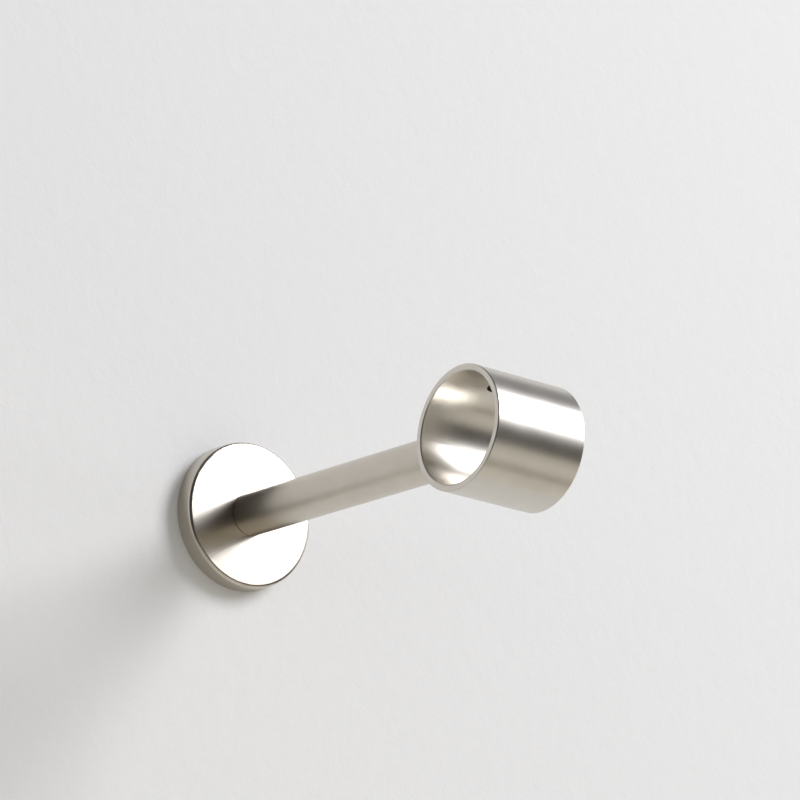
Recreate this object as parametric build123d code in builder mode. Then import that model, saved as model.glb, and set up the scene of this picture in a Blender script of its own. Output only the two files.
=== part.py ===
from build123d import *
import os
from math import cos, radians, sin, sqrt

# Curtain rod bracket: a round wall plate, a straight round arm and a short open ring that carries the rod.
# Millimetres. The wall is the plane Y = 0, the arm points to -Y, the rod runs along X and Z is up.

# Wall plate, a turned cup that hides the mounting disc
plate_dia = 45.5
plate_thick = 6.5
plate_edge_radius = 1.0
plate_rim_wall = 1.6
plate_face_wall = 1.6

# Mounting disc inside the plate, screwed to the wall first
disc_gap = 0.5
disc_thick = 3.5
disc_boss_dia = 14.0
wall_screw_spacing = 26.0
wall_screw_hole_dia = 4.5
wall_screw_head_dia = 8.4
wall_screw_head_angle = 82.0

# Stud that the arm screws onto
stud_dia = 6.0
stud_head_dia = 8.5
stud_head_thick = 1.6
stud_sunk = 0.2
stud_chamfer = 0.8
stud_grip = 12.0
thread_gap = 0.05
stud_hole_gap = 0.25
arm_hole_spare = 2.0

# Arm
arm_dia = 13.2
arm_foot_chamfer = 0.35
braze_gap = 0.03

# Ring, a length of tube with its axis along X
wall_to_rod = 127.0
rod_dia = 31.75
rod_play = 1.25
ring_wall = 2.0
ring_length = 31.5
ring_edge_chamfer = 0.25

# Set screw that locks the rod in the ring, behind the top of the ring
set_screw_dia = 5.0
set_screw_length = 4.0
set_screw_behind_top = 13.0
set_screw_off_centre = 0.6
set_screw_chamfer = 0.5
set_screw_hex = 2.5
set_screw_hex_depth = 1.8
set_screw_clear_of_bore = 0.05

plate_radius = plate_dia / 2
plate_inner_radius = plate_radius - plate_rim_wall
plate_cavity = plate_thick - plate_face_wall
ring_bore_radius = (rod_dia + rod_play) / 2
ring_radius = ring_bore_radius + ring_wall

# Planes parallel to the wall look out into the room, so a height on them is a distance from the wall
wall = Plane(origin=(0, 0, 0), x_dir=(1, 0, 0), z_dir=(0, -1, 0))
ring_axis = Plane(origin=(0, -wall_to_rod, 0), x_dir=(0, 1, 0), z_dir=(1, 0, 0))


def wall_plane(distance):
    """Plane parallel to the wall, this far out from it."""
    return wall.offset(distance)


# The plate is turned from one blank: a flat face with a rounded rim, open at the back.
with BuildPart() as wall_plate:
    with BuildSketch(wall_plane(0)):
        Circle(plate_radius)
    extrude(amount=plate_thick)
    fillet(wall_plate.edges().group_by(Axis.Y)[0], plate_edge_radius)
    with BuildSketch(wall_plane(0)):
        Circle(plate_inner_radius)
    extrude(amount=plate_cavity, mode=Mode.SUBTRACT)
    with BuildSketch(wall_plane(plate_cavity)):
        Circle(stud_dia / 2 + stud_hole_gap)
    extrude(amount=plate_face_wall, mode=Mode.SUBTRACT)
wall_plate.part.label = "wall_plate"

# The disc takes two countersunk wall screws. Its boss backs the plate where the arm clamps it.
disc_radius = plate_inner_radius - disc_gap
stud_head_space = stud_head_dia / 2 + thread_gap
with BuildPart() as mounting_disc:
    with BuildSketch(wall_plane(0)):
        Circle(disc_radius)
    extrude(amount=disc_thick)
    with BuildSketch(wall_plane(0)):
        Circle(disc_boss_dia / 2)
    extrude(amount=plate_cavity)
    with BuildSketch(wall_plane(0)):
        Circle(stud_dia / 2 + thread_gap)
    extrude(amount=plate_cavity, mode=Mode.SUBTRACT)
    with BuildSketch(wall_plane(0)):
        Circle(stud_head_space)
    extrude(amount=stud_sunk + stud_head_thick + thread_gap, mode=Mode.SUBTRACT)
    with Locations(wall_plane(disc_thick)):
        with GridLocations(0, wall_screw_spacing, 1, 2):
            CounterSinkHole(
                wall_screw_hole_dia / 2,
                wall_screw_head_dia / 2,
                depth=disc_thick,
                counter_sink_angle=wall_screw_head_angle,
            )
mounting_disc.part.label = "mounting_disc"

# The stud is pressed into the back of the disc and runs through the plate into the arm.
stud_end = plate_thick + stud_grip
with BuildPart() as arm_stud:
    with BuildSketch(wall_plane(stud_sunk)):
        Circle(stud_head_dia / 2)
    extrude(amount=stud_head_thick)
    with BuildSketch(wall_plane(stud_sunk)):
        Circle(stud_dia / 2)
    extrude(amount=stud_end - stud_sunk)
    chamfer(arm_stud.edges().group_by(Axis.Y)[0], stud_chamfer)
arm_stud.part.label = "arm_stud"

# The arm is a solid bar with a tapped hole in its foot. Its far end is cut to the curve of the ring.
arm_end = wall_to_rod - sqrt(ring_radius**2 - (arm_dia / 2) ** 2)
with BuildPart() as arm:
    with BuildSketch(wall_plane(plate_thick)):
        Circle(arm_dia / 2)
    extrude(amount=arm_end - plate_thick)
    chamfer(arm.edges().group_by(Axis.Y)[-1], arm_foot_chamfer)
    with BuildSketch(wall_plane(plate_thick)):
        Circle(stud_dia / 2 + thread_gap)
    extrude(amount=stud_grip + arm_hole_spare, mode=Mode.SUBTRACT)
    with BuildSketch(ring_axis):
        Circle(ring_radius + braze_gap)
    extrude(amount=arm_dia, both=True, mode=Mode.SUBTRACT)
arm.part.label = "arm"

# The set screw's own plane: it stands on the bore and looks out along the screw, behind the top of the ring.
screw_out = Vector(0, sin(radians(set_screw_behind_top)), cos(radians(set_screw_behind_top)))
screw_foot = Vector(set_screw_off_centre, -wall_to_rod, 0)
screw_plane = Plane(origin=screw_foot, x_dir=(1, 0, 0), z_dir=screw_out)

# The ring is a cut length of tube with eased edges and one tapped hole.
with BuildPart() as rod_ring:
    with BuildSketch(ring_axis):
        Circle(ring_radius)
        Circle(ring_bore_radius, mode=Mode.SUBTRACT)
    extrude(amount=ring_length / 2, both=True)
    chamfer(rod_ring.edges().filter_by(GeomType.CIRCLE), ring_edge_chamfer)
    with BuildSketch(screw_plane):
        Circle(set_screw_dia / 2 + thread_gap)
    extrude(amount=2 * ring_radius, mode=Mode.SUBTRACT)
rod_ring.part.label = "rod_ring"

# The set screw is backed off, its tip level with the bore, so that a rod can pass.
screw_tip = ring_bore_radius + set_screw_clear_of_bore
with BuildPart() as rod_set_screw:
    with BuildSketch(screw_plane.offset(screw_tip)):
        Circle(set_screw_dia / 2)
    extrude(amount=set_screw_length)
    chamfer(rod_set_screw.edges().filter_by(GeomType.CIRCLE), set_screw_chamfer)
    with BuildSketch(screw_plane.offset(screw_tip + set_screw_length)):
        RegularPolygon(set_screw_hex / 2, 6, major_radius=False)
    extrude(amount=-set_screw_hex_depth, mode=Mode.SUBTRACT)
rod_set_screw.part.label = "rod_set_screw"

os.makedirs("parts", exist_ok=True)
for piece in (wall_plate, mounting_disc, arm_stud, arm, rod_ring, rod_set_screw):
    export_step(piece.part, f"parts/{piece.part.label}.step")
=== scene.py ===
from math import cos, pi, radians, sin, sqrt, tan

import bmesh
import bpy
from mathutils import Matrix, Vector


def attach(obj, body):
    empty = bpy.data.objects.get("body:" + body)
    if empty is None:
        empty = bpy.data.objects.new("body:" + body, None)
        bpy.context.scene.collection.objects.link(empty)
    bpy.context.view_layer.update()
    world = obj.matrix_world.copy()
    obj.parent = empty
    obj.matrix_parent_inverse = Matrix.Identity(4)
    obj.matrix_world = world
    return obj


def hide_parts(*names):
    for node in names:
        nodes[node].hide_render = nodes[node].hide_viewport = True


# A curtain rod bracket in satin nickel: a round plate on the wall, a straight arm and a short
# open ring that the rod passes through. The wall is Y = 0, the room is on the -Y side and the
# rod runs along X. Metres, with mm for the small sizes.
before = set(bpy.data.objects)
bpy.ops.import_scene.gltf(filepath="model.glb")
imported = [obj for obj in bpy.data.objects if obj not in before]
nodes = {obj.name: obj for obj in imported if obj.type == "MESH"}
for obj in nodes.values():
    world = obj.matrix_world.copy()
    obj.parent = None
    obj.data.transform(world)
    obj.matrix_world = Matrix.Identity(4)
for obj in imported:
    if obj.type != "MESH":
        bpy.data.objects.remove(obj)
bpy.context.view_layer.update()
mm = 0.001


# Wall plate. A shallow cup turned from brass, 45.5 mm across, then brushed on the lathe and
# plated in satin nickel. Its open back hides the mounting disc and sits flat on the wall.
plate_radius = 22.75 * mm
plate_nickel = (0.585, 0.54, 0.472)
plate_roughness = 0.23


class Nodes:
    """Nodes of a material or of the room: each call adds one, sets its inputs and links them."""

    def __init__(self, owner):
        owner.use_nodes = True
        self.tree = owner.node_tree
        self.tree.nodes.clear()

    def add(self, kind, settings=None, **inputs):
        """Inputs go by name, with _ for a space, or by number as i0, i1 and so on."""
        node = self.tree.nodes.new("ShaderNode" + kind)
        for key, value in (settings or {}).items():
            setattr(node, key, value)
        for key, value in inputs.items():
            by_number = key[0] == "i" and key[1:].isdigit()
            place = int(key[1:]) if by_number else key.replace("_", " ")
            if isinstance(value, bpy.types.NodeSocket):
                self.tree.links.new(value, node.inputs[place])
            else:
                node.inputs[place].default_value = value
        return node

    def math(self, operation, a, b=0.0):
        return self.add("Math", {"operation": operation}, i0=a, i1=b).outputs[0]

    def noise(self, vector, scale, detail=2.0, roughness=0.5):
        return self.add("TexNoise", Vector=vector, Scale=scale, Detail=detail, Roughness=roughness).outputs[0]

    def vary(self, noise, low, high):
        """Spreads a noise, whose values lie mostly between 0.3 and 0.7, over this range."""
        node = self.add("MapRange", Value=noise, From_Min=0.3, From_Max=0.7, To_Min=low, To_Max=high)
        return node.outputs[0]

    def mix(self, share, first, second):
        """Goes from the first colour to the second as the share goes from 0 to 1."""
        node = self.add("Mix", {"data_type": "RGBA"}, i0=share, i6=(*first, 1), i7=(*second, 1))
        return node.outputs[2]

    def bump(self, height, depth):
        return self.add("Bump", Height=height, Strength=1.0, Distance=depth).outputs[0]

    def surface(self, shader):
        self.add("OutputMaterial", Surface=shader.outputs[0])


def round_the_axis(n, axis, centre):
    """Coordinates that follow a turned piece: along its profile, and round it without a seam."""
    place = n.add("TexCoord").outputs["Object"]
    place = n.add("VectorMath", {"operation": "SUBTRACT"}, i0=place, i1=centre).outputs[0]
    x, y, z = n.add("SeparateXYZ", Vector=place).outputs
    along, u, v = (x, y, z) if axis == "X" else (y, x, z)
    radius = n.math("SQRT", n.math("ADD", n.math("MULTIPLY", u, u), n.math("MULTIPLY", v, v)))
    profile = n.math("ADD", along, radius)
    return place, profile, n.math("DIVIDE", u, radius), n.math("DIVIDE", v, radius)


def satin_nickel(name, nickel, roughness, axis="Y", centre=(0, 0, 0)):
    """Brushed nickel plate: fine lines round the axis over a soft speckle left by the plating."""
    lines_along, lines_round = 5200, 11
    speckle_scale, cloud_scale = 4200, 140
    lines_share, speckle_share = 0.6, 0.25
    grain_depth = 0.0025 * mm
    rougher_by_line, rougher_by_cloud = 0.018, 0.01
    lighter_by = 1.065
    material = bpy.data.materials.new(name)
    n = Nodes(material)
    place, profile, u, v = round_the_axis(n, axis, centre)
    lines_at = n.add("CombineXYZ", X=n.math("MULTIPLY", profile, lines_along),
                     Y=n.math("MULTIPLY", u, lines_round), Z=n.math("MULTIPLY", v, lines_round))
    lines = n.noise(lines_at.outputs[0], 1.0, 3.0, 0.6)
    speckle = n.noise(place, speckle_scale)
    cloud = n.noise(place, cloud_scale, 3.0, 0.55)
    tone = n.mix(n.vary(cloud, 0, 1), nickel, [lighter_by * c for c in nickel])
    # The roughness varies little, because the picture gets dark specks where it crosses 0.27.
    rough = n.math("ADD", n.vary(lines, roughness - rougher_by_line, roughness + rougher_by_line),
                   n.vary(cloud, -rougher_by_cloud, rougher_by_cloud))
    height = n.math("ADD", n.math("MULTIPLY", lines, lines_share),
                    n.math("MULTIPLY", speckle, speckle_share))
    n.surface(n.add("BsdfPrincipled", Base_Color=tone, Metallic=1.0, Roughness=rough,
                    Normal=n.bump(height, grain_depth)))
    return material


def finish_node(node, material):
    """Puts one finish on a node of the model, whose own mesh stays as it is."""
    for place in nodes[node].material_slots:
        place.material = material


finish_node("wall_plate", satin_nickel("satin_nickel_plate", plate_nickel, plate_roughness))


# Mounting disc and stud. A zinc plated steel disc is screwed to the wall through its two
# countersunk holes, and an M6 stud pressed into its back runs through the plate into the arm.
def zinc_plate(name):
    """Bright zinc on steel: cool grey, faintly clouded."""
    dull_zinc, bright_zinc = (0.50, 0.52, 0.55), (0.66, 0.67, 0.68)
    cloud_scale, grain_scale, grain_depth = 420, 3000, 0.003 * mm
    material = bpy.data.materials.new(name)
    n = Nodes(material)
    place = n.add("TexCoord").outputs["Object"]
    cloud = n.noise(place, cloud_scale, 4.0, 0.6)
    grain = n.noise(place, grain_scale)
    n.surface(n.add("BsdfPrincipled", Base_Color=n.mix(n.vary(cloud, 0, 1), dull_zinc, bright_zinc),
                    Metallic=1.0, Roughness=n.vary(cloud, 0.3, 0.42), Normal=n.bump(grain, grain_depth)))
    return material


zinc = zinc_plate("zinc_plated_steel")
finish_node("mounting_disc", zinc)
finish_node("arm_stud", zinc)


# Arm. A solid bar, 13.2 mm thick, with a tapped hole in its foot and its far end cut to the
# curve of the ring. It has the same nickel as the plate that it clamps, brushed a little duller.
arm_radius = 6.6 * mm
arm_roughness = 0.305
finish_node("arm", satin_nickel("satin_nickel_arm", plate_nickel, arm_roughness))


# Rod ring. A 31.5 mm length of tube with eased edges, 37 mm across outside and 33 mm inside,
# its axis along the rod, 127 mm from the wall. It is brazed to the end of the arm.
ring_axis_at = (0, -127 * mm, 0)
ring_radius = 18.5 * mm
ring_nickel = (0.64, 0.608, 0.552)
ring_roughness = 0.305
ring_finish = satin_nickel("satin_nickel_ring", ring_nickel, ring_roughness, "X", ring_axis_at)
finish_node("rod_ring", ring_finish)


# Braze. A slim fillet, half a millimetre deep, runs round the saddle where the arm meets the
# ring. It is dressed smooth and plated over with the rest.
braze_leg = 0.55 * mm
braze_sunk = 0.04 * mm
braze_fullness = 0.75
braze_turns, braze_rows = 96, 7


def saddle(angle, out):
    """The point on the outside of the ring, this far out from the arm's axis."""
    x, z = out * cos(angle), out * sin(angle)
    return Vector((x, ring_axis_at[1] + sqrt(ring_radius**2 - z**2), z))


def braze_section(angle):
    """The bead there: a hollow curve from the arm to the ring, then a point hidden behind it."""
    on_arm = saddle(angle, arm_radius - braze_sunk) + Vector((0, braze_leg, 0))
    corner = saddle(angle, arm_radius - braze_sunk) - Vector((0, braze_sunk, 0))
    on_ring = saddle(angle, arm_radius + braze_leg) - Vector((0, braze_sunk, 0))
    pull = braze_fullness * corner + (1 - braze_fullness) / 2 * (on_arm + on_ring)
    points = []
    for j in range(braze_rows):
        t = j / (braze_rows - 1)
        points.append((1 - t) ** 2 * on_arm + 2 * t * (1 - t) * pull + t**2 * on_ring)
    return points + [corner - Vector((0, 2 * braze_sunk, 0))]


def mesh_from(name, bm):
    """Turns what was built into a mesh."""
    mesh = bpy.data.meshes.new(name)
    bm.to_mesh(mesh)
    bm.free()
    return mesh


def add_piece(name, mesh, material):
    """Puts a mesh into the scene as a piece with its finish."""
    mesh.materials.append(material)
    piece = bpy.data.objects.new(name, mesh)
    bpy.context.collection.objects.link(piece)
    return piece


bm = bmesh.new()
sections = []
for i in range(braze_turns):
    sections.append([bm.verts.new(point) for point in braze_section(2 * pi * i / braze_turns)])
for i in range(braze_turns):
    a, b = sections[i], sections[(i + 1) % braze_turns]
    for j in range(len(a)):
        k = (j + 1) % len(a)
        bm.faces.new((a[j], a[k], b[k], b[j]))
bmesh.ops.recalc_face_normals(bm, faces=bm.faces)
mesh = mesh_from("arm_braze", bm)
mesh.polygons.foreach_set("use_smooth", [True] * len(mesh.polygons))
braze = add_piece("arm_braze", mesh, ring_finish)
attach(braze, "root")


# Set screw. A black M5 grub screw, 4 mm long, in the ring's tapped hole just behind its top.
# It is turned in with a hex key until it grips the rod, and backed off here.
screw_radius = 2.5 * mm
screw_length = 4 * mm
screw_chamfer = 0.5 * mm
thread_pitch = 0.8 * mm
thread_depth = 0.45 * mm
thread_root_share, thread_flank_share = 0.08, 0.8
hex_flat = 1.25 * mm
hex_depth = 1.8 * mm
hex_drill_depth = 2.3 * mm
hex_rim_ease, hex_rim_depth = 1.03, 0.03 * mm
tip_dimple = 0.35 * mm
screw_behind_top = radians(13)
screw_off_centre = 0.6 * mm
screw_tip_out = 16.55 * mm
screw_turns, screw_rows = 120, 100
angles = [2 * pi * i / screw_turns for i in range(screw_turns)]


def thread_radius(angle, height):
    """The thread's radius there, with the ends of the thread run out on a chamfer."""
    phase = (height / thread_pitch - angle / (2 * pi)) % 1
    rise = min(max((abs(phase - 0.5) * 2 - thread_root_share) / thread_flank_share, 0), 1)
    cone = screw_radius - screw_chamfer + min(height, screw_length - height)
    return min(screw_radius - thread_depth * (1 - rise), cone)


def turn_of_points(bm, radii, height):
    """One turn round the screw at this height."""
    return [bm.verts.new((r * cos(a), r * sin(a), height)) for a, r in zip(angles, radii)]


bm = bmesh.new()
turns = []
for j in range(screw_rows + 1):
    height = screw_length * j / screw_rows
    turns.append(turn_of_points(bm, [thread_radius(a, height) for a in angles], height))
hexagon = [hex_flat / cos((a + pi / 6) % (pi / 3) - pi / 6) for a in angles]
turns.append(turn_of_points(bm, [hex_rim_ease * r for r in hexagon], screw_length))
turns.append(turn_of_points(bm, hexagon, screw_length - hex_rim_depth))
turns.append(turn_of_points(bm, hexagon, screw_length - hex_depth))
for lower, upper in zip(turns, turns[1:]):
    for i in range(screw_turns):
        k = (i + 1) % screw_turns
        bm.faces.new((lower[i], lower[k], upper[k], upper[i]))
bottom = bm.verts.new((0, 0, screw_length - hex_drill_depth))
tip = bm.verts.new((0, 0, tip_dimple))
for i in range(screw_turns):
    k = (i + 1) % screw_turns
    bm.faces.new((turns[-1][i], turns[-1][k], bottom))
    bm.faces.new((turns[0][k], turns[0][i], tip))
bmesh.ops.recalc_face_normals(bm, faces=bm.faces)
mesh = mesh_from("set_screw_threaded", bm)


def black_oxide_steel(name):
    """Oiled black oxide: nearly black, a little uneven."""
    deep_black, worn_black = (0.012, 0.012, 0.013), (0.04, 0.038, 0.037)
    cloud_scale, grain_scale, grain_depth = 900, 6000, 0.002 * mm
    material = bpy.data.materials.new(name)
    n = Nodes(material)
    place = n.add("TexCoord").outputs["Object"]
    cloud = n.noise(place, cloud_scale, 3.0, 0.6)
    grain = n.noise(place, grain_scale)
    n.surface(n.add("BsdfPrincipled", Base_Color=n.mix(n.vary(cloud, 0, 1), deep_black, worn_black),
                    Metallic=0.7, Roughness=n.vary(cloud, 0.38, 0.52), Normal=n.bump(grain, grain_depth)))
    return material


black_oxide = black_oxide_steel("black_oxide_steel")
set_screw = add_piece("set_screw_threaded", mesh, black_oxide)
screw_out = Vector((0, sin(screw_behind_top), cos(screw_behind_top)))
screw_side = Vector((1, 0, 0))
turn = Matrix((screw_side, screw_out.cross(screw_side), screw_out)).transposed().to_4x4()
screw_at = Vector((screw_off_centre, ring_axis_at[1], 0)) + screw_tip_out * screw_out
set_screw.matrix_world = Matrix.Translation(screw_at) @ turn
finish_node("rod_set_screw", black_oxide)
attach(set_screw, "root")
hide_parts("rod_set_screw")


# The wall. Painted plaster with a faint trowelled texture. Far above the bracket it carries painted
# shade: its paint goes dark there and stands in for the shade on the upper wall. Behind the plate
# it has an opening, and its back is clear, so that the bracket can also be looked at from behind.
wall_back = 0.05 * mm
plate_rim_overlap = 1.15 * mm
opening_radius = plate_radius - plate_rim_overlap
wall_half_width, wall_above, wall_below = 4.0, 2.6, 1.3
tiny = 1e-6
bm = bmesh.new()
inner = [bm.verts.new((opening_radius * cos(a), wall_back, opening_radius * sin(a))) for a in angles]
outer = []
for a in angles:
    to_side = wall_half_width / max(abs(cos(a)), tiny)
    to_end = (wall_above if sin(a) > 0 else wall_below) / max(abs(sin(a)), tiny)
    reach = min(to_side, to_end)
    outer.append(bm.verts.new((reach * cos(a), wall_back, reach * sin(a))))
for i in range(len(angles)):
    k = (i + 1) % len(angles)
    bm.faces.new((inner[i], outer[i], outer[k], inner[k]))
for face in bm.faces:
    face.normal_update()
    if face.normal.y > 0:
        face.normal_flip()
mesh = mesh_from("wall", bm)


def painted_plaster(name):
    """Matt paint over trowel strokes and orange peel, with painted shade far above. Its back is clear."""
    # Painted shade: from 0.225 m to 0.5 m above the bracket the paint goes dark, standing in for the shade on
    # the upper wall.
    pale_paint, painted_shade = (0.805, 0.80, 0.79), (0.14, 0.14, 0.14)
    shade_from, shade_full_above = 0.225, 0.5
    stroke_scale, peel_scale, peel_share = 170, 900, 0.25
    texture_depth = 0.19 * mm
    material = bpy.data.materials.new(name)
    n = Nodes(material)
    place = n.add("TexCoord").outputs["Object"]
    strokes = n.noise(place, stroke_scale, 4.0, 0.55)
    orange_peel = n.noise(place, peel_scale, 3.0, 0.6)
    height = n.math("ADD", strokes, n.math("MULTIPLY", orange_peel, peel_share))
    level = n.add("SeparateXYZ", Vector=place).outputs["Z"]
    shade_fade = n.add("MapRange", {"interpolation_type": "SMOOTHSTEP"}, Value=level,
                 From_Min=shade_from, From_Max=shade_full_above)
    paint = n.add("BsdfPrincipled", Base_Color=n.mix(shade_fade.outputs[0], pale_paint, painted_shade),
                  Roughness=0.85, Normal=n.bump(height, texture_depth))
    clear = n.add("BsdfTransparent")
    back = n.add("NewGeometry").outputs["Backfacing"]
    n.surface(n.add("MixShader", i0=back, i1=paint.outputs[0], i2=clear.outputs[0]))
    return material


wall = add_piece("wall", mesh, painted_plaster("painted_plaster"))


# The floor. Plain and pale, well below the bracket.
floor_level, floor_reach = -1.3, 14


def matt_paint(name, colour, roughness):
    """One flat colour, for the things that are only stage."""
    material = bpy.data.materials.new(name)
    material.use_nodes = True
    shader = material.node_tree.nodes["Principled BSDF"]
    shader.inputs["Base Color"].default_value = (*colour, 1)
    shader.inputs["Roughness"].default_value = roughness
    return material


mesh = bpy.data.meshes.new("floor")
corners = [(-floor_reach, -floor_reach, floor_level), (floor_reach, -floor_reach, floor_level),
           (floor_reach, floor_reach, floor_level), (-floor_reach, floor_reach, floor_level)]
mesh.from_pydata(corners, [], [(0, 1, 2, 3)])
floor = add_piece("floor", mesh, matt_paint("pale_floor", (0.74, 0.70, 0.60), 0.8))


# Light. One large soft window to the right and above, the pale room, and dark screens behind
# the camera, straight out from the wall, under the window and low down on its side. Only the
# metal sees the screens.
def toward(azimuth, elevation, distance):
    """The place that far from the bracket: azimuth 0 is straight out from the wall, 90 is +X."""
    a, e = radians(azimuth), radians(elevation)
    return distance * Vector((sin(a) * cos(e), -cos(a) * cos(e), sin(e)))


window_azimuth, window_elevation, window_distance = 41, 31.8, 3.5
window = bpy.data.lights.new("window", "AREA")
window.shape = "RECTANGLE"
window.size, window.size_y = 1.5, 1.67
window.energy = 99
window.color = (0.975, 0.985, 1.04)
window_at = bpy.data.objects.new("window", window)
window_at.location = toward(window_azimuth, window_elevation, window_distance)
window_at.rotation_mode = "QUATERNION"
window_at.rotation_quaternion = (-window_at.location).to_track_quat("-Z", "Y")
window_at.visible_camera = False
bpy.context.collection.objects.link(window_at)

dark = matt_paint("dark_screen", (0.07, 0.068, 0.065), 1.0)
screen_steps = 24


def screen(name, distance, from_az, to_az, from_el, to_el):
    """A curved dark screen round the bracket, which only reflections show."""
    points = []
    for i in range(screen_steps + 1):
        a = radians(from_az + (to_az - from_az) * i / screen_steps)
        for e in (from_el, to_el):
            points.append((distance * sin(a), -distance * cos(a), distance * tan(radians(e))))
    faces = [(2 * i, 2 * i + 1, 2 * i + 3, 2 * i + 2) for i in range(screen_steps)]
    mesh = bpy.data.meshes.new(name)
    mesh.from_pydata(points, [], faces)
    made = add_piece(name, mesh, dark)
    made.visible_camera = made.visible_diffuse = made.visible_shadow = False


screen("screen_behind_camera", 1.7, -80, -26, -32, 45)
screen("screen_ahead", 1.6, -26, 22, -20, 48)
screen("screen_under_window", 1.5, 20, 78, -20, 6)
screen("screen_low", 0.9, 45, 62, -50.5, -40.5)

horizon_light, sky_light = (0.79, 0.79, 0.79), (0.12, 0.123, 0.13)
sky_from_height = 0.85
room = bpy.data.worlds.new("room")
bpy.context.scene.world = room
n = Nodes(room)
height = n.add("SeparateXYZ", Vector=n.add("TexCoord").outputs["Generated"]).outputs["Z"]
rise = n.add("MapRange", Value=height, From_Min=0.0, From_Max=sky_from_height)
light = n.add("Background", Color=n.mix(rise.outputs[0], horizon_light, sky_light), Strength=1.0)
n.add("OutputWorld", Surface=light.outputs[0])


# Camera. A long lens on the room side, to the left of the bracket and below it, looking up.
azimuth, elevation, roll = radians(-37.301), radians(-16.732), radians(2.666)
camera_away, camera_right, camera_up = 1.230968, 0.0497746, 0.0364336
away = Vector((sin(azimuth) * cos(elevation), -cos(azimuth) * cos(elevation), sin(elevation)))
level = Vector((cos(azimuth), sin(azimuth), 0))
upright = Vector((-sin(azimuth) * sin(elevation), cos(azimuth) * sin(elevation), cos(elevation)))
right = cos(roll) * level + sin(roll) * upright
up = -sin(roll) * level + cos(roll) * upright
lens = bpy.data.cameras.new("camera")
lens.sensor_width = 36
lens.lens = 180.12
lens.clip_start, lens.clip_end = 0.05, 60
camera = bpy.data.objects.new("camera", lens)
turn = Matrix((right, up, away)).transposed().to_4x4()
camera.matrix_world = Matrix.Translation(camera_away * away + camera_right * right + camera_up * up) @ turn
bpy.context.collection.objects.link(camera)
bpy.context.scene.camera = camera
bpy.context.scene.view_settings.view_transform = "Standard"
